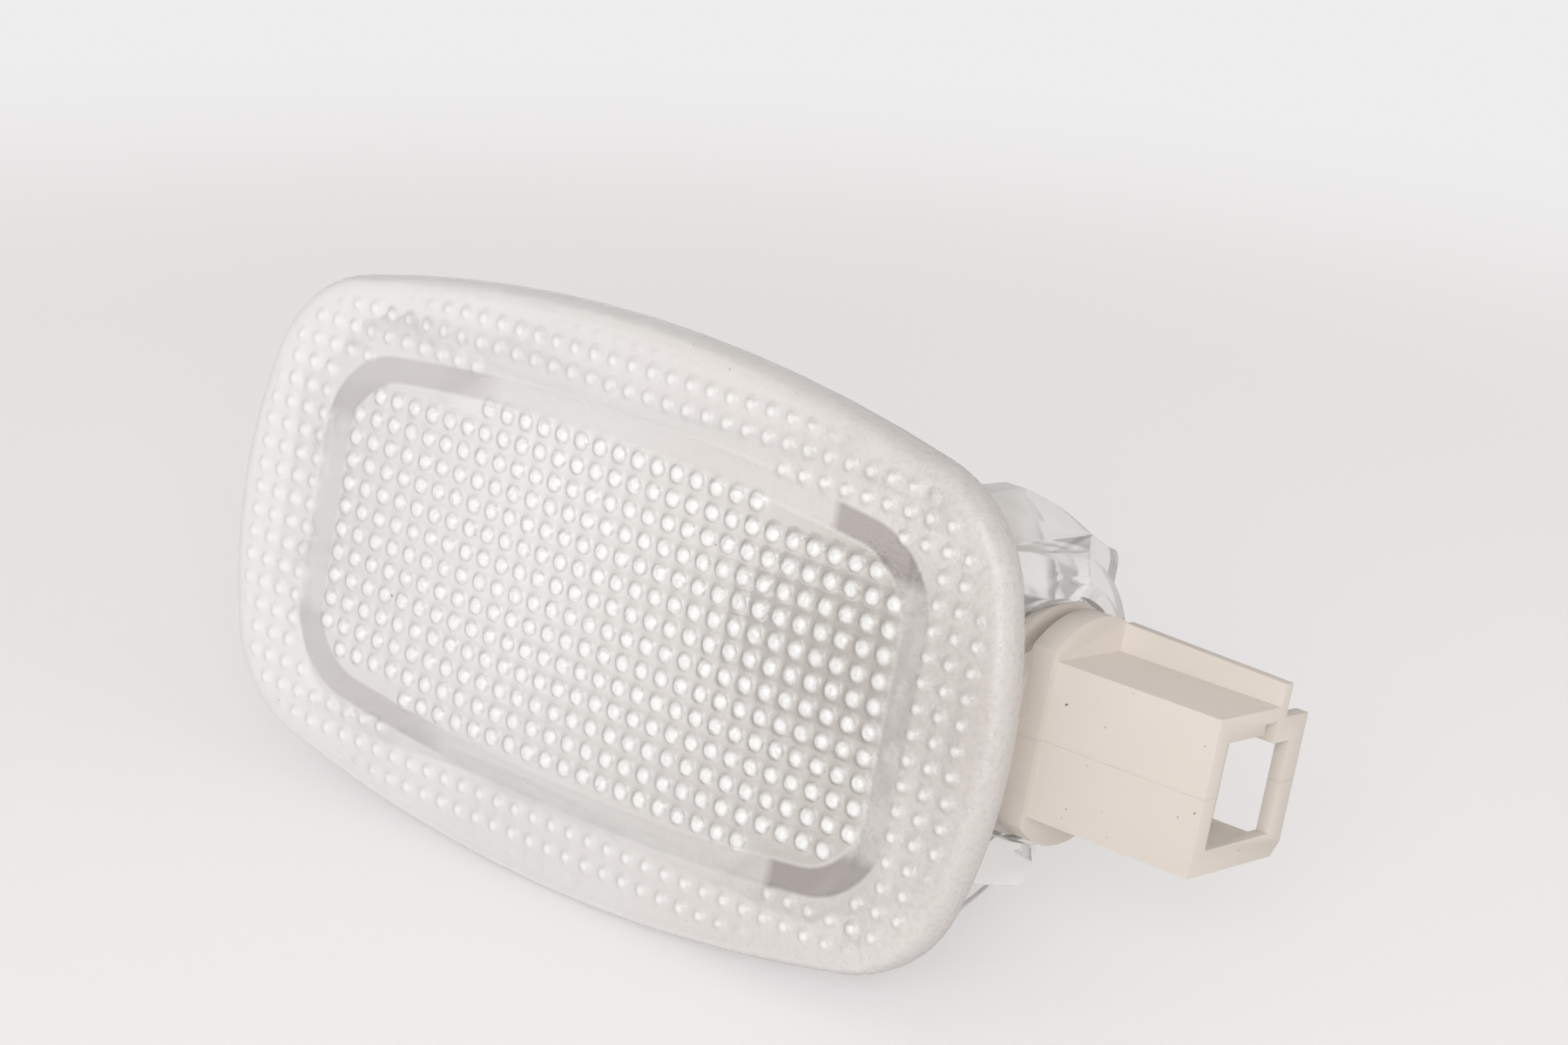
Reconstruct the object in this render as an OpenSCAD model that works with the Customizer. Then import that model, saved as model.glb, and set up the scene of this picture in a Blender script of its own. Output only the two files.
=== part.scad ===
// Car glovebox light: a clear one-piece lens that snaps into a panel cut-out, with a grey
// twist-lock bulb holder in its end wall, two contacts and a wedge-base bulb.
// Origin: centre of the flange's rear seating face. The lens faces -Y, the connector points to +X.

/* [Flange] */
// Length of the visible flange
flange_l = 75; // [72:0.5:90]
// Height of the visible flange
flange_h = 44.3; // [42:0.1:52]
// Thickness of the flange
flange_t = 2.2; // [1.8:0.1:3]
// Radius of the bowed long sides
bow_long_r = 121; // [100:1:200]
// Radius of the bowed short sides
bow_short_r = 40; // [38:1:60]
// Radius of the flange's corners
flange_corner_r = 10.5; // [8:0.5:12]
// Width of the rolled front edge
edge_roll = 1.4; // [0.6:0.1:1.6]
// How much thinner the window is than the flange
window_recess = 0.3; // [0.2:0.1:0.6]

/* [Lamp box] */
// Outer length of the box behind the window
box_l = 59.4; // [56:0.2:62]
// Distance from the flange's middle to the box's middle
box_x = -0.7; // [-1.5:0.1:1]
// Outer height of the box where it meets the flange
box_h = 33.2; // [32:0.2:34]
// Slope of the box's long walls, in degrees
box_slope = 16; // [8:1:18]
// Thickness of the box walls
box_wall = 1.8; // [1.4:0.1:2.4]
// Outer corner radius of the box
box_corner_r = 7; // [5:0.5:9]
// Depth of the box at the bulb holder's end
box_depth = 17; // [15:0.5:19]
// Depth of the box at the hook end
box_depth_hook = 10; // [8:0.5:14]

/* [End wall] */
// Thickness of the wall that carries the bulb holder
end_wall_t = 2; // [1.6:0.1:2.6]
// Distance of the bulb's axis behind the seating face
axis_depth = 12.5; // [12:0.1:13.5]
// Half height of the wall at the flange
end_half_h = 16.5; // [16:0.1:17.5]
// Depth at which the sloping cheeks begin
cheek_start = 9; // [8:0.1:10]
// Half height where the sloping cheeks end
cheek_half_h = 12.5; // [12:0.1:13.5]
// Depth at which the sloping cheeks end
cheek_depth = 19; // [18:0.1:20]
// How far the cheeks bulge past a straight line
cheek_bulge = 0.3; // [0:0.1:1]
// Radius of the round lug at the end of each cheek
ear_r = 1.6; // [1.4:0.1:2]
// Depth of the lug's centre
ear_depth = 21.9; // [21:0.1:22.5]
// Distance of the lug's centre from the middle
ear_z = 9.7; // [9.4:0.1:10]
// Radius of the raised boss round the bulb holder
boss_r = 12; // [11.8:0.1:12.4]
// Height of the boss above the wall
boss_h = 2; // [1.6:0.1:2.2]
// Outer radius of the collar on the boss
collar_r = 10.2; // [10:0.1:10.6]
// Thickness of the collar
collar_t = 1; // [0.8:0.1:1.3]
// Height of the collar above the boss
collar_h = 1.1; // [0.8:0.1:1.4]
// Depth at which the collar begins, open towards the flange
collar_start = 11; // [9:0.1:13]

/* [Catches and hook] */
// Thickness of the panel that the light clips into
panel_t = 3; // [2:0.1:3]
// Clearance between the panel and what holds it
panel_gap = 0.1; // [0.05:0.05:0.3]
// Distance from the middle to the inner side of each catch
catch_z = 8.3; // [8.2:0.1:8.8]
// Width of each catch
catch_w = 4.2; // [3.8:0.1:4.6]
// Depth of the catch's crest
catch_crest = 12.6; // [11:0.1:14]
// How far the crest stands out from the end wall
catch_reach = 4.3; // [3:0.1:4.5]
// Depth at which the catch's rear slope ends
catch_end = 18.7; // [17:0.1:20]
// Width of the fixed hook at the other end
hook_w = 17.9; // [14:0.1:20]
// How far the hook reaches past the box
hook_reach = 5; // [4:0.1:6]
// Thickness of the hook
hook_t = 2; // [1.6:0.1:2.4]

/* [Bulb holder] */
// Radius of the outer disc
disc_r = 8.6; // [8.4:0.1:8.9]
// Thickness of the outer disc
disc_t = 1.9; // [1.4:0.1:2.2]
// Distance from the boss to the outer disc
disc_gap = 2.2; // [2:0.1:3]
// Distance from the bulb's axis to the disc's front flat
flat_depth = 5.6; // [5.4:0.1:5.8]
// Radius of the seating ring on the boss
seat_ring_r = 8.8; // [8.4:0.1:9]
// Thickness of the seating ring
seat_ring_t = 0.8; // [0.6:0.1:1]
// Radius of the neck through the boss
neck_r = 7.2; // [7:0.05:7.3]
// Running clearance round the neck
neck_clearance = 0.25; // [0.15:0.05:0.4]
// How far the bayonet lugs stand out from the neck
lug_reach = 1.4; // [1:0.1:1.5]
// Thickness of the bayonet lugs
lug_t = 1.6; // [1.2:0.1:2]
// Angular width of each bayonet lug
lug_angle = 34; // [24:1:40]
// Turn between locked and released
twist_angle = 60; // [50:1:70]
// Radius of the socket that grips the bulb
socket_r = 6.8; // [6.6:0.1:7]
// Length of the socket, from the lugs to its mouth
socket_l = 17.6; // [16:0.2:19]
// Thickness of the socket across its flats
socket_t = 9.2; // [8.8:0.1:10]

/* [Connector] */
// Length of the connector shroud past the disc
shroud_l = 13.5; // [12:0.5:16]
// Height of the shroud, along Z
shroud_h = 11.5; // [11.2:0.1:12]
// Depth of the shroud, along Y
shroud_d = 9.3; // [9:0.1:9.8]
// Distance from the bulb's axis to the shroud's front face
shroud_front = 5.1; // [5:0.1:5.4]
// Thickness of the shroud's front wall
shroud_front_wall = 1.6; // [1.4:0.1:1.8]
// Thickness of the shroud's top and bottom walls
shroud_side_wall = 1.85; // [1.6:0.05:2]
// Thickness of the shroud's rear wall
shroud_rear_wall = 1.1; // [0.9:0.1:1.3]
// Length of the latch window in the rear wall, from the mouth
latch_window_l = 3.9; // [3.5:0.1:5]
// Width of the latch bar across the mouth
latch_bar_w = 1; // [0.9:0.1:1.4]
// Distance from the shroud's back to the latch bar
latch_gap = 1.2; // [0.6:0.1:1.4]
// Thickness of the latch bar
latch_bar_t = 2; // [1.8:0.1:2.6]
// Height of the rib along the shroud's top at the disc
rib_h = 2.1; // [1.8:0.1:2.6]
// Height of the rib at the mouth
rib_h_mouth = 1.7; // [1.2:0.1:2]
// Thickness of the rib
rib_t = 1; // [0.7:0.1:1.1]
// Depth of the plug cavity
plug_depth = 12; // [10:0.5:14]
// Width of the keyway along the cavity's top rear edge
keyway_w = 1.7; // [1.4:0.1:2]
// Depth of the keyway into the top wall
keyway_h = 0.8; // [0.5:0.1:0.9]

/* [Contacts] */
// Width of each contact
contact_w = 2.2; // [1.8:0.1:2.6]
// Thickness of each contact
contact_t = 0.6; // [0.5:0.1:0.8]
// Distance of each contact from the middle, along Z
contact_z = 2.6; // [2.4:0.1:2.8]
// Length of the blade inside the plug cavity
blade_l = 6; // [5:0.5:8]
// Clearance round each contact in its channel
contact_fit = 0.05; // [0.02:0.01:0.1]

/* [Bulb] */
// Radius of the glass
glass_r = 5; // [4.8:0.1:5.1]
// Thickness of the glass
glass_t = 0.7; // [0.5:0.1:0.9]
// Length of the bulb, tip to base
bulb_l = 26; // [25:0.2:26.8]
// Width of the wedge base
wedge_w = 9.5; // [9:0.1:9.6]
// Thickness of the wedge base
wedge_t = 2.4; // [2.1:0.1:2.8]
// Depth of the wedge in the socket
wedge_depth = 8; // [7:0.2:9]
// Clearance round the wedge in the socket
wedge_fit = 0.2; // [0.1:0.05:0.3]
// Radius of the lead wires
lead_r = 0.3; // [0.25:0.05:0.35]
// Distance of each lead wire from the middle
lead_z = 2.6; // [2.4:0.1:2.8]
// Radius of the filament coil
filament_r = 0.35; // [0.25:0.05:0.5]
// Distance from the bulb's tip to the filament
filament_depth = 9; // [8:0.2:11]

/* [Hidden] */
$fn = 64;
eps = 0.01;

clear = [0.90, 0.89, 0.89, 0.55];
grey_plastic = [0.72, 0.69, 0.63];
tinned = [0.78, 0.77, 0.74];
glass = [0.88, 0.92, 0.93, 0.4];
tungsten = [0.45, 0.45, 0.47];

end_x = box_x + box_l / 2;
hook_end_x = box_x - box_l / 2;
boss_x = end_x + boss_h;
disc_x = boss_x + disc_gap;
shroud_x = disc_x + disc_t;
mouth_x = shroud_x + shroud_l;
lug_x = boss_x - end_wall_t - neck_clearance;
socket_x = lug_x - lug_t;
notch_r = neck_r + lug_reach + neck_clearance;
wall_foot_y = -window_recess - eps;
socket_face_x = socket_x - socket_l;
cavity_x = mouth_x - plug_depth;
shroud_y = axis_depth - shroud_front;
shroud_back_y = shroud_y + shroud_d;
bulb_base_x = socket_face_x + wedge_depth;
bulb_tip_x = bulb_base_x - bulb_l;
filament_x = bulb_tip_x + filament_depth;
shoulder_end_x = socket_face_x - wedge_fit;
shoulder_l = 2.5;
shoulder_x = shoulder_end_x - shoulder_l;
hold_y = panel_t + panel_gap;
roll_steps = 6;
roll_depth = 1.5;
box_end_slope = 6;
corner_steps = 8;
cheek_steps = 8;
centring_x = 15.7;
centring_z = 4.8;
centring_r = 0.9;
centring_l = 6;
catch_start = 0.4;
catch_bevel = [0.5, 1.7];
catch_corner = [1.1, 2.2];
lug_middle = 90;
notch_extra = 6;
web_h = 11.2;
web_t = 1.6;
web_fillet = 0.9;
bar_chamfer = 1;
bar_drop = 0.8;
pocket_x = bulb_base_x + 3;
pocket_depth = 3.4;
spring_jog = 2;
spring_out = 2.9;
spring_touch_x = socket_face_x + 3.4;

// Sweeps a drawing in X and Z along Y
module along_y(y, depth) {
    translate([0, y + depth, 0]) rotate([90, 0, 0]) linear_extrude(depth) children();
}

// Sweeps a drawing in Y and Z along X
module along_x(x, length) {
    translate([x, 0, 0]) rotate([90, 0, 90]) linear_extrude(length) children();
}

// Turns a drawing of radius and X about the bulb's axis
module about_axis() {
    translate([0, axis_depth, 0]) rotate([0, 90, 0]) rotate_extrude() children();
}

// Points of an arc, both ends included
function arc(centre, r, from, to, steps) =
    [for (i = [0:steps]) centre + r * [cos(from + (to - from) * i / steps),
                                       sin(from + (to - from) * i / steps)]];

// Centre of the corner arc that touches both bowed sides from inside
long_centre = [0, flange_h / 2 - bow_long_r];
short_centre = [flange_l / 2 - bow_short_r, 0];
corner_span = norm(short_centre - long_centre);
corner_from_long = bow_long_r - flange_corner_r;
corner_from_short = bow_short_r - flange_corner_r;
corner_along = (corner_from_long ^ 2 - corner_from_short ^ 2 + corner_span ^ 2) / (2 * corner_span);
corner_off = sqrt(corner_from_long ^ 2 - corner_along ^ 2);
span_dir = (short_centre - long_centre) / corner_span;
corner_centre = long_centre + corner_along * span_dir + corner_off * [span_dir[1], -span_dir[0]];
short_angle = atan2(corner_centre[1] - short_centre[1], corner_centre[0] - short_centre[0]);
long_angle = atan2(corner_centre[1] - long_centre[1], corner_centre[0] - long_centre[0]);

// First quarter of the flange's outline, drawn inset
function flange_quarter(inset) = concat(
    arc(short_centre, bow_short_r - inset, 0, short_angle, 4),
    without_first(arc(corner_centre, flange_corner_r - inset, short_angle, long_angle, 10)),
    without_first(arc(long_centre, bow_long_r - inset, long_angle, 90, 6)));

function without_first(list) = [for (i = [1:len(list) - 1]) list[i]];

// The whole outline, from its first quarter
function flange_outline(inset) = let (q = flange_quarter(inset), n = len(q) - 1) concat(
    q,
    [for (i = [n - 1:-1:0]) [-q[i][0], q[i][1]]],
    [for (i = [1:n]) [-q[i][0], -q[i][1]]],
    [for (i = [n - 1:-1:1]) [q[i][0], -q[i][1]]]);

// Depth and inset of each ring of the flange, from its seating face round the rolled front edge
flange_rings = concat(
    [[0, 0]],
    [for (i = [0:roll_steps]) [roll_depth * (1 - sin(90 * i / roll_steps)) - flange_t,
                               edge_roll * (1 - cos(90 * i / roll_steps))]]);

// Solid through rings of points that all turn the same way, from the back to the front or the other way
module loft(rings) {
    count = len(rings[0]);
    last = len(rings) - 1;
    sides = [for (r = [0:last - 1], i = [0:count - 1])
        [r * count + i, (r + 1) * count + i, (r + 1) * count + (i + 1) % count, r * count + (i + 1) % count]];
    first_cap = [for (i = [0:count - 1]) i];
    last_cap = [for (i = [count - 1:-1:0]) last * count + i];
    polyhedron(points = [for (ring = rings) each ring], faces = concat([first_cap], sides, [last_cap]));
}

// Plate with bowed sides and a rolled front edge
module flange() {
    loft([for (ring = flange_rings) [for (p = flange_outline(ring[1])) [p[0], ring[0], p[1]]]]);
}

// Outline of the box at one depth, moved in from its walls by an inset
function box_outline(depth, inset) = let (
    half_h = box_h / 2 - depth * tan(box_slope) - inset,
    left = hook_end_x + depth * tan(box_end_slope) + inset,
    right = end_x - inset,
    r = box_corner_r - inset) concat(
    arc([right - r, half_h - r], r, 0, 90, corner_steps),
    arc([left + r, half_h - r], r, 90, 180, corner_steps),
    arc([left + r, r - half_h], r, 180, 270, corner_steps),
    arc([right - r, r - half_h], r, 270, 360, corner_steps));

// Solid between two outlines of the box
module box_block(inset, from, to) {
    loft([for (depth = [to, from]) [for (p = box_outline(depth, inset)) [p[0], depth, p[1]]]]);
}

// Side view of the box, shallower towards the hook
module box_side() {
    polygon([[hook_end_x, -eps], [end_x, -eps], [end_x, box_depth], [hook_end_x, box_depth_hook]]);
}

// Flange with the box behind it, hollow and open at the back, the window thinner than the flange
module flange_and_box() {
    difference() {
        union() {
            flange();
            intersection() {
                box_block(0, -1, box_depth);
                translate([0, 0, -box_h]) linear_extrude(2 * box_h) box_side();
            }
        }
        box_block(box_wall, -window_recess, box_depth + 1);
    }
}

// Half-round ribs that centre the box in the panel's cut-out
module centring_ribs() {
    for (x = [-1, 1], z = [-1, 1])
        translate([x * centring_x, -eps, z * (box_h / 2 - centring_r)]) rotate([-90, 0, 0])
            cylinder(r = centring_r, h = centring_l);
    for (z = [-1, 1])
        translate([hook_end_x, -eps, z * centring_z]) rotate([-90, 0, 0])
            cylinder(r = centring_r, h = panel_t);
}

// Points along one cheek, from where it begins to the lug
cheek = [for (i = [0:cheek_steps]) let (t = i / cheek_steps)
    [cheek_start + (cheek_depth - cheek_start) * t,
     end_half_h + (cheek_half_h - end_half_h) * t + cheek_bulge * sin(180 * t)]];

// Outline of the end wall: two bulging cheeks, each ending in a round lug
module end_wall_outline() {
    for (side = [0, 1]) mirror([0, side]) {
        polygon(concat([[wall_foot_y, 0], [wall_foot_y, end_half_h]], cheek,
                       [[ear_depth, ear_z + ear_r], [ear_depth + ear_r, ear_z], [ear_depth + ear_r, 0]]));
        translate([ear_depth, ear_z]) circle(ear_r);
    }
}

// Sector of a circle about the bulb's axis, for the lugs and their notches
module sector(r, middle, angle) {
    intersection() {
        circle(r);
        rotate(middle) polygon([[0, 0], 2 * r * [cos(angle / 2), -sin(angle / 2)],
                                2 * r * [cos(angle / 2), sin(angle / 2)]]);
    }
}

// Opening in the end wall: a round hole with a notch for each lug
module holder_hole() {
    translate([axis_depth, 0]) {
        circle(neck_r + neck_clearance);
        for (side = [0, 180])
            sector(notch_r, lug_middle + twist_angle + side, lug_angle + notch_extra);
    }
}

// Wall that carries the bulb holder, with the collar on a boss that leaves room for the panel
module end_wall() {
    along_x(end_x - end_wall_t, end_wall_t) end_wall_outline();
    along_x(end_x - end_wall_t, end_wall_t + boss_h) difference() {
        translate([axis_depth, 0]) circle(boss_r);
        translate([0, -boss_r]) square([hold_y, 2 * boss_r]);
    }
    along_x(boss_x - eps, collar_h + eps) difference() {
        translate([axis_depth, 0]) circle(collar_r);
        translate([axis_depth, 0]) circle(collar_r - collar_t);
        translate([0, -collar_r]) square([collar_start, 2 * collar_r]);
    }
}

// Room for the bulb holder: hollow of the boss, keyed hole, and a round clearance outside
module holder_room() {
    along_x(end_x - end_wall_t - box_corner_r, boss_h + box_corner_r) translate([axis_depth, 0]) circle(notch_r);
    along_x(end_x - end_wall_t, end_wall_t + boss_h + 1) holder_hole();
    along_x(boss_x, catch_reach + 1) translate([axis_depth, 0]) circle(collar_r - collar_t);
}

// Catches beside the bulb holder: wedges that rise with depth to a crest, then slope back to lead in
module catches() {
    inner_x = end_x - end_wall_t;
    crest_x = end_x + catch_reach;
    outer_z = catch_z + catch_w;
    for (side = [0, 1]) mirror([0, 0, side]) intersection() {
        loft([for (ring = [[catch_z, 0], [outer_z - catch_bevel[1], 0], [outer_z, catch_bevel[0]]])
            [[inner_x, hold_y, ring[0]], [end_x + catch_start - ring[1], hold_y, ring[0]],
             [crest_x - ring[1], catch_crest, ring[0]], [end_x, catch_end, ring[0]],
             [inner_x, catch_end, ring[0]]]]);
        along_x(inner_x - 1, crest_x - inner_x + 2)
            polygon([[0, catch_z], [catch_crest - catch_corner[0], catch_z],
                     [catch_crest, catch_z + catch_corner[1]], [catch_end + 1, catch_z + catch_corner[1]],
                     [catch_end + 1, outer_z], [0, outer_z]]);
    }
}

// Fixed hook that goes behind the panel at the other end
module hook() {
    root_x = hook_end_x + box_wall;
    tip_x = hook_end_x - hook_reach;
    translate([0, 0, -hook_w / 2]) linear_extrude(hook_w)
        polygon([[root_x, hold_y], [tip_x, hold_y], [tip_x, hold_y + hook_t / 2],
                 [tip_x + hook_t, hold_y + hook_t], [root_x, hold_y + hook_t]]);
}

module lens() color(clear) {
    difference() {
        union() {
            flange_and_box();
            end_wall();
            catches();
        }
        holder_room();
    }
    centring_ribs();
    hook();
}

// Disc outside the end wall, cut flat at the front
module holder_disc() {
    intersection() {
        along_x(disc_x, disc_t) translate([axis_depth, 0]) circle(disc_r);
        translate([disc_x - 1, axis_depth - flat_depth, -disc_r]) cube([disc_t + 2, 2 * disc_r, 2 * disc_r]);
    }
}

// Web behind the disc's flat, with a fillet at each side where it meets the disc
module holder_web() {
    along_y(axis_depth - flat_depth, web_t) difference() {
        translate([boss_x + neck_clearance, -web_h / 2 - web_fillet]) square([disc_gap - neck_clearance + eps,
                                                                         web_h + 2 * web_fillet]);
        for (side = [-1, 1]) {
            translate([disc_x - web_fillet, side * (web_h / 2 + web_fillet)]) circle(web_fillet);
            translate([disc_x - web_fillet - disc_gap, side * (web_h / 2 + web_fillet / 2)])
                square([2 * disc_gap, web_fillet], center = true);
        }
    }
}

// Neck through the end wall, seating ring and bayonet lugs
module holder_neck() {
    along_x(socket_x, disc_x - socket_x + eps) translate([axis_depth, 0]) circle(neck_r);
    along_x(boss_x + neck_clearance, seat_ring_t) translate([axis_depth, 0]) circle(seat_ring_r);
    along_x(socket_x, lug_t) translate([axis_depth, 0])
        for (side = [0, 180]) sector(neck_r + lug_reach, lug_middle + side, lug_angle);
}

// Socket that grips the bulb, with flats at front and back
module holder_socket() {
    intersection() {
        along_x(socket_face_x, socket_l + eps) translate([axis_depth, 0]) circle(socket_r);
        translate([socket_face_x - 1, axis_depth - socket_t / 2, -socket_r])
            cube([socket_l + 2, socket_t, 2 * socket_r]);
    }
}

// Shroud of the connector, with the rib along its top and the latch bar at its mouth
module shroud() {
    translate([shroud_x - eps, shroud_y, -shroud_h / 2]) cube([shroud_l + eps, shroud_d, shroud_h]);
    along_y(shroud_back_y - rib_t, rib_t)
        polygon([[shroud_x - eps, 0], [mouth_x, 0], [mouth_x, shroud_h / 2 + rib_h_mouth],
                 [shroud_x - eps, shroud_h / 2 + rib_h]]);
    along_x(mouth_x - latch_bar_w, latch_bar_w) translate([shroud_back_y + latch_gap, 0]) latch_bar();
    for (z = [-shroud_h / 2, shroud_h / 2 - bar_drop - shroud_side_wall])
        translate([mouth_x - latch_bar_w, shroud_back_y - eps, z])
            cube([latch_bar_w, latch_gap + 2 * eps, shroud_side_wall]);
}

// Section of the latch bar, with one corner cut off
module latch_bar() {
    bottom = -shroud_h / 2;
    top = shroud_h / 2 - bar_drop;
    polygon([[0, bottom], [latch_bar_t - bar_chamfer, bottom], [latch_bar_t, bottom + bar_chamfer],
             [latch_bar_t, top], [0, top]]);
}

// Plug cavity, with a keyway and the latch window that opens its rear wall at the mouth
module plug_cavity() {
    bottom = -shroud_h / 2 + shroud_side_wall;
    inner_h = shroud_h - 2 * shroud_side_wall;
    translate([cavity_x, shroud_y + shroud_front_wall, bottom])
        cube([plug_depth + 1, shroud_d - shroud_front_wall - shroud_rear_wall, inner_h]);
    translate([cavity_x, shroud_back_y - shroud_rear_wall - keyway_w, 0])
        cube([plug_depth + 1, keyway_w, inner_h / 2 + keyway_h]);
    translate([mouth_x - latch_window_l, shroud_back_y - shroud_rear_wall - 1, bottom])
        cube([latch_window_l + 1, shroud_rear_wall + 1 + latch_gap, inner_h - bar_drop]);
}

// Slot for the bulb's wedge, and a channel with a spring pocket for each contact
module holder_cavities() {
    translate([socket_face_x - 1, axis_depth - wedge_t / 2 - wedge_fit, -wedge_w / 2 - wedge_fit])
        cube([wedge_depth + 1 + wedge_fit, wedge_t + 2 * wedge_fit, wedge_w + 2 * wedge_fit]);
    for (side = [-1, 1]) translate([0, axis_depth, side * contact_z]) {
        translate([pocket_x, -contact_t / 2 - contact_fit, -contact_w / 2 - contact_fit])
            cube([cavity_x + 1 - pocket_x, contact_t + 2 * contact_fit, contact_w + 2 * contact_fit]);
        mirror([0, side < 0 ? 1 : 0, 0])
            translate([socket_face_x - 1, -contact_t / 2 - contact_fit, -contact_w / 2 - contact_fit])
                cube([pocket_x - socket_face_x + 1, pocket_depth + contact_t / 2 + contact_fit,
                      contact_w + 2 * contact_fit]);
    }
}

module bulb_holder() color(grey_plastic) {
    difference() {
        union() {
            holder_disc();
            holder_web();
            holder_neck();
            holder_socket();
            shroud();
        }
        plug_cavity();
        holder_cavities();
    }
}

// One contact: a blade in the plug cavity, a tail through the holder and a spring beside the wedge
module contact() {
    spring_y = wedge_t / 2 + 2 * lead_r + contact_t / 2;
    path = [[cavity_x + blade_l, 0], [pocket_x - contact_t, 0], [pocket_x - spring_jog, spring_out],
            [bulb_base_x, spring_out], [spring_touch_x + 0.6, spring_y], [spring_touch_x - 0.6, spring_y],
            [socket_face_x + 0.8, spring_out]];
    linear_extrude(contact_w, center = true)
        polygon(concat([for (p = path) p + [0, contact_t / 2]],
                       [for (i = [len(path) - 1:-1:0]) path[i] - [0, contact_t / 2]]));
}

module contact_upper() color(tinned) translate([0, axis_depth, contact_z]) contact();

module contact_lower() color(tinned) translate([0, axis_depth, -contact_z]) mirror([0, 1, 0]) contact();

// Section of the glass: a round tip, a straight wall and a shoulder into the wedge
module glass_section(r, tip, shoulder) {
    translate([0, tip + r]) intersection() {
        circle(r);
        translate([0, -r]) square([r, r]);
    }
    translate([0, tip + r - eps]) square([r, shoulder - tip - r + eps]);
}

module bulb_glass() color(glass) difference() {
    union() {
        about_axis() union() {
            glass_section(glass_r, bulb_tip_x, shoulder_x);
            polygon([[0, shoulder_x - eps], [glass_r, shoulder_x - eps],
                     [wedge_t / 2, shoulder_end_x], [0, shoulder_end_x]]);
        }
        translate([shoulder_x, axis_depth - wedge_t / 2, -wedge_w / 2])
            cube([bulb_base_x - shoulder_x, wedge_t, wedge_w]);
    }
    about_axis() glass_section(glass_r - glass_t, bulb_tip_x + glass_t, shoulder_x);
    for (side = [-1, 1]) translate([shoulder_x - 1, axis_depth, side * lead_z]) rotate([0, 90, 0])
        cylinder(r = lead_r, h = bulb_base_x - shoulder_x + 2);
}

module filament() color(tungsten) translate([filament_x, axis_depth, 0])
    cylinder(r = filament_r, h = 2 * lead_z, center = true);

// Rod between two points on a line along X
module rod(from, to) translate([from, 0, 0]) rotate([0, 90, 0]) cylinder(r = lead_r, h = to - from);

// Lead wire: from the filament through the wedge, round its end and back along one side
module lead() {
    fold_y = wedge_t / 2 + lead_r;
    rod(filament_x - filament_r, bulb_base_x + lead_r);
    translate([bulb_base_x + lead_r, 0, 0]) sphere(lead_r);
    translate([bulb_base_x + lead_r, 0, 0]) rotate([-90, 0, 0]) cylinder(r = lead_r, h = fold_y);
    translate([bulb_base_x + lead_r, fold_y, 0]) sphere(lead_r);
    translate([0, fold_y, 0]) rod(spring_touch_x - 1, bulb_base_x + lead_r);
}

module lead_upper() color(tungsten) translate([0, axis_depth, lead_z]) lead();

module lead_lower() color(tungsten) translate([0, axis_depth, -lead_z]) mirror([0, 1, 0]) lead();

lens();
bulb_holder();
contact_upper();
contact_lower();
bulb_glass();
filament();
lead_upper();
lead_lower();
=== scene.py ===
import math

import bmesh
import bpy
import numpy as np
from mathutils import Matrix, Vector
from mathutils.geometry import delaunay_2d_cdt


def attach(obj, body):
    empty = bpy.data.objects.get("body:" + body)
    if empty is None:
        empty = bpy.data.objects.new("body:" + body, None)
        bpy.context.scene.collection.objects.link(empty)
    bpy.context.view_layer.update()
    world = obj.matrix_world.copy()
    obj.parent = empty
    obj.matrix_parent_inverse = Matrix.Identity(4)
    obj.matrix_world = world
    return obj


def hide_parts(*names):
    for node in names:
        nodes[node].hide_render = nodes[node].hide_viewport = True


MM = 0.001

# Front relief of the lens: one dot in each cell of a square lattice
PITCH = 1.866 * MM
FIRST_X = -25.1 * MM
FRONT_Y = -2.2 * MM
CELLS = 8
DOT_RADIUS, DOT_HEIGHT = 0.52 * PITCH, 0.50 * MM
BUMP_RADIUS, BUMP_HEIGHT, BUMP_SHIFT = 0.66 * MM, 0.34 * MM, -0.13 * PITCH
RIM_MARGIN, RIM_FADE, RIM_SEAM = 0.2 * MM, 0.6 * MM, 0.12 * MM

# Outlines on the front: middle x, half x, half z and corner radius. Their long sides bow inwards
# by BOW times the squared distance from BOW_X, and their middle line is at z = -LOW.
FIELD = (1.0 * MM, 27.0 * MM, 13.2 * MM, 4.6 * MM)
BAND = (0.8 * MM, 29.5 * MM, 15.4 * MM, 6.0 * MM)
BOW = 2.8
BOW_X = 1.0 * MM
LOW = 0.2 * MM

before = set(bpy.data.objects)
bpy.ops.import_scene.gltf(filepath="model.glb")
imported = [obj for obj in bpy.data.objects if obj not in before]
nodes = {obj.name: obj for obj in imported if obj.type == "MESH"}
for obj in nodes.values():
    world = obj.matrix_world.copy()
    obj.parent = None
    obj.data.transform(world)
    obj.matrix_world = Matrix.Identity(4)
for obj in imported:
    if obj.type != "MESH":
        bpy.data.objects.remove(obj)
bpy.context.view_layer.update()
scene = bpy.context.scene
scene.view_settings.view_transform = "Standard"


# Camera

LENS_MM, SENSOR_MM = 75.67, 36
CAMERA_AT = Vector((149.29, -186.60, 59.71)) * MM
RIGHT = Vector((0.7753, 0.6053, 0.1803)).normalized()
BACK = Vector((0.5712, -0.7938, 0.2085)).normalized()
UP = BACK.cross(RIGHT).normalized()
CENTRE = Vector((5 * MM, 8 * MM, -2 * MM))


def look(location, back, up):
    """Placement of an object whose local Z points along back."""
    right = up.cross(back).normalized()
    m = Matrix((right, back.cross(right), back)).transposed().to_4x4()
    m.translation = location
    return m


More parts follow.
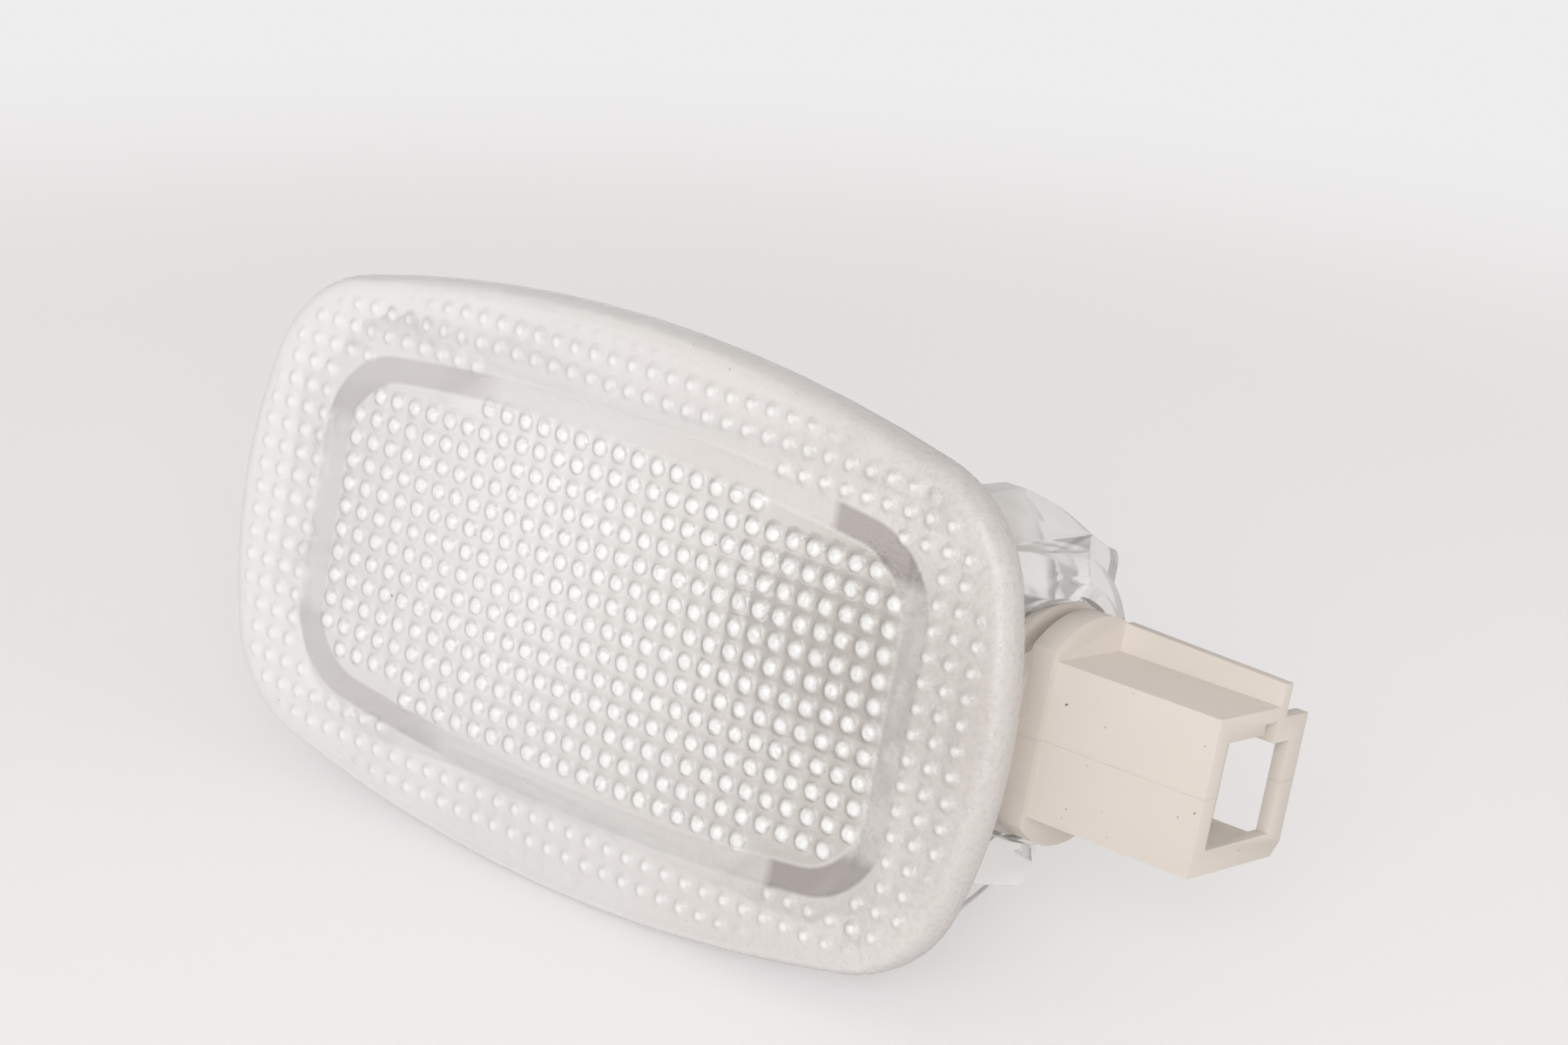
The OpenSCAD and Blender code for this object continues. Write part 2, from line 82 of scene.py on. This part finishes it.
cam_data = bpy.data.cameras.new("camera")
cam_data.sensor_width = SENSOR_MM
cam_data.lens = LENS_MM
cam_data.clip_start = 0.01
cam_data.clip_end = 10
camera = bpy.data.objects.new("camera", cam_data)
camera.matrix_world = look(CAMERA_AT, BACK, UP)
scene.collection.objects.link(camera)
scene.camera = camera


# Materials

class Mat:
    """A node material and short calls for its nodes."""

    def __init__(self, name, **sockets):
        self.m = bpy.data.materials.new(name)
        self.m.use_nodes = True
        self.t = self.m.node_tree
        self.bsdf = self.t.nodes["Principled BSDF"]
        for key, value in sockets.items():
            self.bsdf.inputs[key.replace("_", " ")].default_value = value
        self.co = self.t.nodes.new("ShaderNodeTexCoord").outputs["Object"]

    def node(self, kind, links=None, **props):
        n = self.t.nodes.new("ShaderNode" + kind)
        for key, value in props.items():
            setattr(n, key, value)
        for key, value in (links or {}).items():
            if isinstance(value, bpy.types.NodeSocket):
                self.t.links.new(value, n.inputs[key])
            else:
                n.inputs[key].default_value = value
        return n

    def noise(self, scale, detail=3, rough=0.5, vector=None):
        return self.node("TexNoise", {"Vector": vector or self.co, "Scale": scale, "Detail": detail,
                                      "Roughness": rough}).outputs["Fac"]

    def span(self, value, low, high, to_low=0.0, to_high=1.0):
        """Value moved from the range low to high into another range, and held at its ends."""
        return self.node("MapRange", {0: value, 1: low, 2: high, 3: to_low, 4: to_high}).outputs[0]

    def math(self, op, a, b=0.0):
        return self.node("Math", {0: a, 1: b}, operation=op).outputs[0]

    def times(self, a, b):
        return self.math("MULTIPLY", a, b)

    def size(self, value):
        return self.math("ABSOLUTE", value)

    def mix(self, fac, a, b):
        return self.node("Mix", {0: fac, 6: a, 7: b}, data_type="RGBA").outputs[2]

    def axis(self, name):
        return self.node("SeparateXYZ", {0: self.co}).outputs[name]

    def rounded_box(self, x, z, middle, half_x, half_z, radius):
        """Distance to a rounded rectangle in X and Z, negative inside."""
        qx = self.math("SUBTRACT", self.size(self.math("SUBTRACT", x, middle)), half_x - radius)
        qz = self.math("SUBTRACT", self.size(z), half_z - radius)
        ox, oz = self.math("MAXIMUM", qx, 0.0), self.math("MAXIMUM", qz, 0.0)
        far = self.math("SQRT", self.math("ADD", self.times(ox, ox), self.times(oz, oz)))
        near = self.math("MINIMUM", self.math("MAXIMUM", qx, qz), 0.0)
        return self.math("SUBTRACT", self.math("ADD", far, near), radius)

    def bump(self, height, strength, distance, normal=None):
        links = {"Height": height, "Strength": strength, "Distance": distance}
        if normal:
            links["Normal"] = normal
        return self.node("Bump", links).outputs["Normal"]

    def set(self, name, socket):
        self.t.links.new(socket, self.bsdf.inputs[name])


def front_zones(k, x, z):
    """Shares from 0 to 1: in the window's field, in the band round it, and in the band's corners, where
    painted shade stands for the dark inside seen through the plastic.
    """
    along = k.math("SUBTRACT", x, BOW_X)
    across = k.math("ADD", k.size(k.math("ADD", z, LOW)), k.times(k.times(along, along), BOW))
    field = k.rounded_box(x, across, *FIELD)
    outer = k.rounded_box(x, across, *BAND)
    in_field = k.span(field, -0.2 * MM, 0.1 * MM, 1.0, 0.0)
    band = k.times(k.span(field, 0.0, 0.3 * MM), k.span(outer, -0.2 * MM, 0.1 * MM, 1.0, 0.0))
    off_axis = k.size(z)
    # Painted shade: patches at the band's corners where the shaded inside of the box shows through
    left = k.times(k.span(x, -11 * MM, -14 * MM), k.span(off_axis, 7 * MM, 8.5 * MM))
    right = k.times(k.span(x, 20.5 * MM, 21.3 * MM), k.span(off_axis, 9.5 * MM, 10.5 * MM))
    return in_field, band, k.times(band, k.math("MAXIMUM", k.times(left, 0.4), right))


def clear_plastic():
    """Clear moulding: milky and frosted at the front, glossier behind it, with a few specks of dust,
    and painted highlights and shade on its front relief.
    """
    k = Mat("clear_plastic", IOR=1.49)
    x, y, z = (k.axis(n) for n in "XYZ")
    facing = k.node("SeparateXYZ", {0: k.node("TexCoord").outputs["Normal"]}).outputs["Y"]
    edge = k.times(k.span(k.size(facing), 0.5, 0.9, 1.0, 0.0), k.span(y, 0.0, 0.05 * MM, 1.0, 0.0))
    front = k.math("MAXIMUM", k.span(y, -0.45 * MM, -0.35 * MM, 1.0, 0.0), edge)
    high = k.span(y, -2.40 * MM, -2.62 * MM)
    tip_highlight = k.span(y, -2.44 * MM, -2.52 * MM)
    in_field, band, painted_shade_corner = front_zones(k, x, z)

    # Colour: warmer to the right, with painted highlights on the tips of the dots and bumps, painted
    # shade in the valleys between the dots that deepens to the right and at the band's corners, and
    # grain at the flange's right end
    cloud = k.noise(90, 2)
    tone = k.span(k.math("ADD", x, k.span(cloud, 0.3, 0.7, -8 * MM, 8 * MM)), -34 * MM, 34 * MM)
    plain = k.mix(tone, (0.95, 0.945, 0.94, 1), (0.82, 0.775, 0.745, 1))
    # Painted highlight: the tips of the bumps turn near white
    bumps = k.mix(tip_highlight, plain, (0.99, 0.98, 0.97, 1))
    # Painted shade: the valleys between the dots darken towards the right
    valley_shade = k.mix(k.span(x, -6 * MM, 24 * MM), (0.95, 0.935, 0.92, 1), (0.73, 0.69, 0.65, 1))
    # Painted highlight: the tops of the dots turn near white
    dots = k.mix(high, valley_shade, (0.99, 0.99, 0.98, 1))
    # Painted shade: the band's corners take a dark brown where the inside shows through
    face = k.mix(painted_shade_corner, k.mix(in_field, bumps, dots), (0.46, 0.42, 0.40, 1))
    coarse = k.times(k.span(k.noise(2500, 2, 0.6), 0.48, 0.68), k.span(x, 8 * MM, 30 * MM, 0.0, 0.22))
    face = k.mix(k.times(coarse, k.span(in_field, 0.0, 1.0, 1.0, 0.4)), face, (0.50, 0.47, 0.44, 1))
    clear = k.mix(cloud, (0.975, 0.965, 0.955, 1), (0.99, 0.98, 0.97, 1))
    speck = k.span(k.noise(2300, 1), 0.80, 0.82)
    k.set("Base Color", k.mix(speck, k.mix(front, clear, face), (0.42, 0.3, 0.2, 1)))

    # Milkiness: how little light passes through
    milk = k.math("ADD", k.span(in_field, 0.0, 1.0, 0.56, 0.52), k.times(high, 0.22))
    milk = k.math("SUBTRACT", milk, k.times(band, 0.12))
    k.set("Transmission Weight", k.math("SUBTRACT", 1.0, k.span(front, 0.0, 1.0, 0.18, milk)))

    frost = k.times(front, k.span(cloud, 0.3, 0.7, 0.8, 1.2))
    k.set("Roughness", k.span(frost, 0.0, 1.0, 0.09, 0.19))
    grainy = k.span(k.times(front, k.span(x, 4 * MM, 28 * MM, 0.3, 1.0)), 0.0, 1.0, 0.1, 1.0)
    fine = k.bump(k.times(k.noise(2800, 3, 0.6), grainy), 0.9, 0.12 * MM)
    facets = k.times(k.noise(1900, 1), k.times(high, in_field))
    k.set("Normal", k.bump(facets, 0.8, 0.30 * MM, fine))
    return k.m


def grey_plastic():
    """Satin grey moulding with a fine grain, a parting line at mid-height and dust in places."""
    k = Mat("grey_plastic", Specular_IOR_Level=0.4)
    cloud = k.noise(70, 3)
    base = k.mix(cloud, (0.605, 0.55, 0.495, 1), (0.66, 0.60, 0.545, 1))
    speck = k.span(k.noise(2100, 1), 0.79, 0.81)
    k.set("Base Color", k.mix(speck, base, (0.2, 0.15, 0.11, 1)))
    k.set("Roughness", k.span(k.noise(900, 2), 0.3, 0.7, 0.42, 0.56))
    line = k.span(k.size(k.axis("Z")), 0.03 * MM, 0.10 * MM, 1.0, 0.0)
    uneven = k.bump(k.noise(240, 2), 0.2, 0.08 * MM)
    fine = k.bump(k.noise(5200, 2, 0.6), 0.3, 0.03 * MM, uneven)
    k.set("Normal", k.bump(line, 0.6, 0.06 * MM, fine))
    return k.m


def tinned_brass():
    """Tinned contact: brushed along its length, with a little tarnish."""
    k = Mat("tinned_brass", Metallic=1.0)
    stretch = k.node("Mapping", {0: k.co, 3: (1, 14, 14)}).outputs[0]
    brushed = k.noise(500, 3, 0.6, stretch)
    k.set("Base Color", k.mix(k.noise(260, 3), (0.62, 0.60, 0.56, 1), (0.80, 0.79, 0.76, 1)))
    k.set("Roughness", k.span(brushed, 0.3, 0.7, 0.25, 0.4))
    k.set("Normal", k.bump(brushed, 0.2, 0.02 * MM))
    return k.m


def bulb_glass():
    """Thin blown glass with slow waves."""
    k = Mat("bulb_glass", Transmission_Weight=1.0, IOR=1.5)
    k.set("Roughness", k.span(k.noise(300, 2), 0.3, 0.7, 0.0, 0.03))
    k.set("Base Color", k.mix(k.noise(200, 1), (0.96, 0.98, 0.98, 1), (0.99, 1, 1, 1)))
    k.set("Normal", k.bump(k.noise(220, 1), 0.15, 0.1 * MM))
    return k.m


def wire():
    """Drawn wire, darker in places from heat."""
    k = Mat("wire", Metallic=1.0)
    k.set("Base Color", k.mix(k.noise(400, 2), (0.26, 0.26, 0.28, 1), (0.5, 0.5, 0.52, 1)))
    k.set("Roughness", k.span(k.noise(900, 2), 0.3, 0.7, 0.3, 0.5))
    return k.m


MATERIALS = {make.__name__: make() for make in
             (clear_plastic, grey_plastic, tinned_brass, bulb_glass, wire)}


def dress(obj, slot_name):
    """Gives the object the one material of that slot."""
    obj.data.materials.clear()
    obj.data.materials.append(MATERIALS[slot_name])


# Meshes taken from the CAD nodes

SHORTEST_EDGE = 0.05 * MM
SMALLEST_AREA = 1e-14
BEVEL_ANGLE, SHADE_ANGLE = math.radians(38), math.radians(34)
LENS_BEVEL, HOLDER_BEVEL = 0.15 * MM, 0.14 * MM

def cad_mesh(node):
    """The CAD node's mesh as a bmesh, with doubles merged."""
    bm = bmesh.new()
    bm.from_mesh(nodes[node].data)
    bmesh.ops.remove_doubles(bm, verts=bm.verts, dist=2e-6)
    return bm


def join_flats(bm):
    """Joins triangles that lie in one plane."""
    bmesh.ops.dissolve_limit(bm, angle_limit=math.radians(0.6), verts=bm.verts, edges=bm.edges)


def soften(bm, width, angle, keep=lambda e: False):
    """Rounds the edges sharper than the angle a little, but for those that keep names."""
    edges = [e for e in bm.edges if e.is_manifold and e.calc_face_angle(0) > angle and not keep(e)
             and e.calc_length() > SHORTEST_EDGE]
    bmesh.ops.bevel(bm, geom=edges, offset=width, segments=2, profile=0.5, affect="EDGES",
                    clamp_overlap=True)


def shade(bm, angle):
    """Smooth shading, broken at edges sharper than the angle."""
    for f in bm.faces:
        f.smooth = True
    for e in bm.edges:
        e.smooth = not (e.is_manifold and e.calc_face_angle(0) > angle)


def piece(name, bm, body, slot_name, *stands_for):
    """A visible piece on a body, which stands for the CAD nodes named."""
    mesh = bpy.data.meshes.new(name)
    bm.to_mesh(mesh)
    bm.free()
    obj = bpy.data.objects.new(name, mesh)
    scene.collection.objects.link(obj)
    dress(obj, slot_name)
    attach(obj, body)
    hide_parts(*stands_for)
    return obj


# Front relief of the lens

def dot(distance, radius, height, power=1.0):
    """Height of a dome at a distance from its centre. A lower power makes its foot steeper."""
    r = np.clip(distance / radius, 0, 1)
    return height * (1 - r ** 2) ** power


def bowed_box(x, z, middle, half_x, half_z, radius):
    """Signed distance to a rounded rectangle with bowed sides, negative inside."""
    qx = np.abs(x - middle) - half_x + radius
    qz = np.abs(z + LOW) + BOW * (x - BOW_X) ** 2 - half_z + radius
    far = np.hypot(np.maximum(qx, 0), np.maximum(qz, 0))
    return far + np.minimum(np.maximum(qx, qz), 0) - radius


def relief_height(x, z, to_rim):
    """How far the front stands out: window dots, a smooth band, and low bumps on the flange."""
    def nearest(first_x, first_z):
        """Centre of the lattice cell that each point is in, and the point's distance from it."""
        cx = first_x + np.round((x - first_x) / PITCH) * PITCH
        cz = first_z + np.round((z - first_z) / PITCH) * PITCH
        return cx, cz, np.hypot(x - cx, z - cz)

    cx, cz, distance = nearest(FIRST_X, 0.5 * PITCH)
    window = bowed_box(cx, cz, *FIELD) < -0.3 * MM
    h = np.where(window, dot(distance, DOT_RADIUS, DOT_HEIGHT), 0.0)
    cx, cz, distance = nearest(FIRST_X + BUMP_SHIFT, 0.0)
    outside = bowed_box(cx, cz, *BAND) > 0.3 * MM
    fade = np.clip((to_rim - RIM_MARGIN) / RIM_FADE, 0, 1)
    return h + np.where(outside, fade * dot(distance, BUMP_RADIUS, BUMP_HEIGHT, 0.75), 0.0)


def distance_inside(ring, gx, gz):
    """Distance from each grid point to the nearest side of a convex ring, negative outside."""
    inside = np.full(gx.shape, np.inf)
    for (ax, az), (bx, bz) in zip(ring, np.roll(ring, -1, axis=0)):
        side = ((bx - ax) * (gz - az) - (bz - az) * (gx - ax)) / math.hypot(bx - ax, bz - az)
        inside = np.minimum(inside, side)
    return inside


def lens_piece():
    """The CAD lens with softened edges, its flat front replaced by a relief that is sewn to its rim."""
    bm = cad_mesh("lens")
    front = [f for f in bm.faces if all(v.co.y < FRONT_Y + 0.005 * MM for v in f.verts)]
    bmesh.ops.delete(bm, geom=front, context="FACES")
    join_flats(bm)
    soften(bm, LENS_BEVEL, BEVEL_ANGLE, keep=lambda e: e.verts[0].co.y < -0.05 * MM)
    shade(bm, SHADE_ANGLE)
    rim = list({v for e in bm.edges if e.is_boundary for v in e.verts})
    mid = Vector((sum(v.co.x for v in rim), 0, sum(v.co.z for v in rim))) / len(rim)
    rim.sort(key=lambda v: math.atan2(v.co.z - mid.z, v.co.x - mid.x))
    ring = np.array([(v.co.x, v.co.z) for v in rim])

    cell = PITCH / CELLS
    (low_x, low_z), (high_x, high_z) = ring.min(axis=0), ring.max(axis=0)
    i0, i1 = int((low_x - FIRST_X) / cell) - 1, int((high_x - FIRST_X) / cell) + 2
    j0, j1 = int(low_z / cell) - 1, int(high_z / cell) + 2
    gi, gj = np.meshgrid(np.arange(i0, i1 + 1), np.arange(j0, j1 + 1), indexing="ij")
    gx, gz = FIRST_X + gi * cell, gj * cell
    inside = distance_inside(ring, gx, gz)
    height = relief_height(gx, gz, inside)
    good = inside > RIM_SEAM
    full = good[:-1, :-1] & good[1:, :-1] & good[1:, 1:] & good[:-1, 1:]

    made = {}

    def vert(i, j):
        if (i, j) not in made:
            made[(i, j)] = bm.verts.new((gx[i, j], FRONT_Y - height[i, j], gz[i, j]))
        return made[(i, j)]

    for i, j in zip(*np.nonzero(full)):
        f = bm.faces.new((vert(i, j), vert(i + 1, j), vert(i + 1, j + 1), vert(i, j + 1)))
        f.smooth = True

    # Strip of triangles between the grid's ragged edge and the rim
    padded = np.pad(full, 1)
    quads = padded[:-1, :-1].astype(int) + padded[1:, :-1] + padded[1:, 1:] + padded[:-1, 1:]
    edge_keys = [key for key in made if quads[key] < 4]
    points = [Vector((x, z)) for x, z in ring] + [Vector((gx[k], gz[k])) for k in edge_keys]
    owners = rim + [made[k] for k in edge_keys]
    n = len(ring)
    loops = [(i, (i + 1) % n) for i in range(n)]
    at = {k: n + i for i, k in enumerate(edge_keys)}
    for i, j in edge_keys:
        for di, dj in ((1, 0), (0, 1)):
            other = (i + di, j + dj)
            before = padded[i + 1, j] if di else padded[i, j + 1]
            if other in at and bool(before) != bool(padded[i + 1, j + 1]):
                loops.append((at[(i, j)], at[other]))
    result = delaunay_2d_cdt([p / MM for p in points], loops, [], 0, 1e-6)
    triangles, sources = result[2], result[3]
    for tri in triangles:
        ids = [sources[v][0] for v in tri if sources[v]]
        if len(ids) < 3:
            continue
        a, b, c = (points[k] for k in ids)
        middle = (a + b + c) / 3
        ci = math.floor((middle.x - FIRST_X) / cell) - i0
        cj = math.floor(middle.y / cell) - j0
        if 0 <= ci < full.shape[0] and 0 <= cj < full.shape[1] and full[ci, cj]:
            continue
        area = (b - a).cross(c - a)
        if abs(area) < SMALLEST_AREA:
            continue
        if area < 0:
            ids.reverse()
        bm.faces.new([owners[k] for k in ids]).smooth = True
    return piece("lens_moulding", bm, "lamp", "clear_plastic", "lens")


def holder_piece():
    """The CAD bulb holder with its edges softened."""
    bm = cad_mesh("bulb_holder")
    join_flats(bm)
    soften(bm, HOLDER_BEVEL, BEVEL_ANGLE)
    shade(bm, SHADE_ANGLE)
    return piece("holder_moulding", bm, "holder", "grey_plastic", "bulb_holder")


lens = lens_piece()
holder_piece()
for node_name in ("contact_upper", "contact_lower"):
    dress(nodes[node_name], "tinned_brass")
dress(nodes["bulb_glass"], "bulb_glass")
for node_name in ("filament", "lead_upper", "lead_lower"):
    dress(nodes[node_name], "wire")


# Floor, backdrop and lights

FLOOR_TILT = math.radians(12)
FLOOR_UP = Vector((0, -math.sin(FLOOR_TILT), math.cos(FLOOR_TILT)))
FLOOR_RADIUS, FADE_START, FADE_END = 0.6, 0.13, 0.26
SEEN_RAYS = ("Is Camera Ray", "Is Glossy Ray", "Is Transmission Ray")


def floor_piece(touch):
    """Pale floor that touches the lens and fades out, with its shadow lifted where it is seen."""
    bm = bmesh.new()
    bmesh.ops.create_circle(bm, cap_ends=True, segments=96, radius=FLOOR_RADIUS)
    mesh = bpy.data.meshes.new("floor")
    bm.to_mesh(mesh)
    bm.free()
    obj = bpy.data.objects.new("floor", mesh)
    scene.collection.objects.link(obj)
    obj.matrix_world = look(FLOOR_UP * touch, FLOOR_UP, Vector((1, 0, 0)))
    k = Mat("floor_paper", Roughness=0.9)
    k.bsdf.inputs["Specular IOR Level"].default_value = 0.1
    k.set("Base Color", k.mix(k.noise(9, 2), (0.92, 0.91, 0.91, 1), (0.94, 0.93, 0.93, 1)))
    distance = k.node("VectorMath", {0: k.co}, operation="LENGTH").outputs["Value"]
    fade = k.node("MapRange", {0: distance, 1: FADE_START, 2: FADE_END},
                  interpolation_type="SMOOTHSTEP").outputs[0]
    path = k.node("LightPath").outputs
    camera_ray, glossy, through = (path[ray] for ray in SEEN_RAYS)
    seen = k.math("MAXIMUM", camera_ray, k.math("MAXIMUM", glossy, through))
    paper = k.node("Emission", {"Color": (0.95, 0.94, 0.94, 1)})
    lit = k.node("MixShader", {0: k.times(seen, 0.4), 1: k.bsdf.outputs[0], 2: paper.outputs[0]})
    clear = k.node("BsdfTransparent")
    mix = k.node("MixShader", {0: fade, 1: lit.outputs[0], 2: clear.outputs[0]})
    k.t.links.new(mix.outputs[0], k.t.nodes["Material Output"].inputs["Surface"])
    obj.data.materials.append(k.m)


def softbox(name, place, size, level, color=(1, 1, 1)):
    """An area light facing the part; level is how bright it makes a white surface that faces it."""
    offset = RIGHT * place[0] + UP * place[1] + BACK * place[2]
    data = bpy.data.lights.new(name, "AREA")
    data.shape = "RECTANGLE"
    data.size, data.size_y = size
    data.energy = level * math.pi ** 2 * offset.length ** 2
    data.color = color
    obj = bpy.data.objects.new(name, data)
    obj.matrix_world = look(CENTRE + offset, offset.normalized(), UP)
    scene.collection.objects.link(obj)


floor_piece(min(Vector(v.co).dot(FLOOR_UP) for v in lens.data.vertices))
softbox("key", (-0.02, 0.02, 0.42), (0.28, 0.24), 0.60, (0.98, 1.0, 1.02))
softbox("side", (0.34, 0.02, 0.26), (0.20, 0.18), 0.12)

world = bpy.data.worlds.new("studio")
scene.world = world
world.use_nodes = True
wt = world.node_tree
wt.nodes.clear()
path = wt.nodes.new("ShaderNodeLightPath")
seen = path.outputs[SEEN_RAYS[0]]
for ray in SEEN_RAYS[1:]:
    m = wt.nodes.new("ShaderNodeMath")
    m.operation = "MAXIMUM"
    wt.links.new(seen, m.inputs[0])
    wt.links.new(path.outputs[ray], m.inputs[1])
    seen = m.outputs[0]
light = wt.nodes.new("ShaderNodeBackground")
light.inputs[0].default_value = (0.56, 0.535, 0.515, 1)
paper = wt.nodes.new("ShaderNodeBackground")
paper.inputs[0].default_value = (0.86, 0.85, 0.85, 1)
both = wt.nodes.new("ShaderNodeMixShader")
wt.links.new(seen, both.inputs[0])
wt.links.new(light.outputs[0], both.inputs[1])
wt.links.new(paper.outputs[0], both.inputs[2])
end = wt.nodes.new("ShaderNodeOutputWorld")
wt.links.new(both.outputs[0], end.inputs[0])
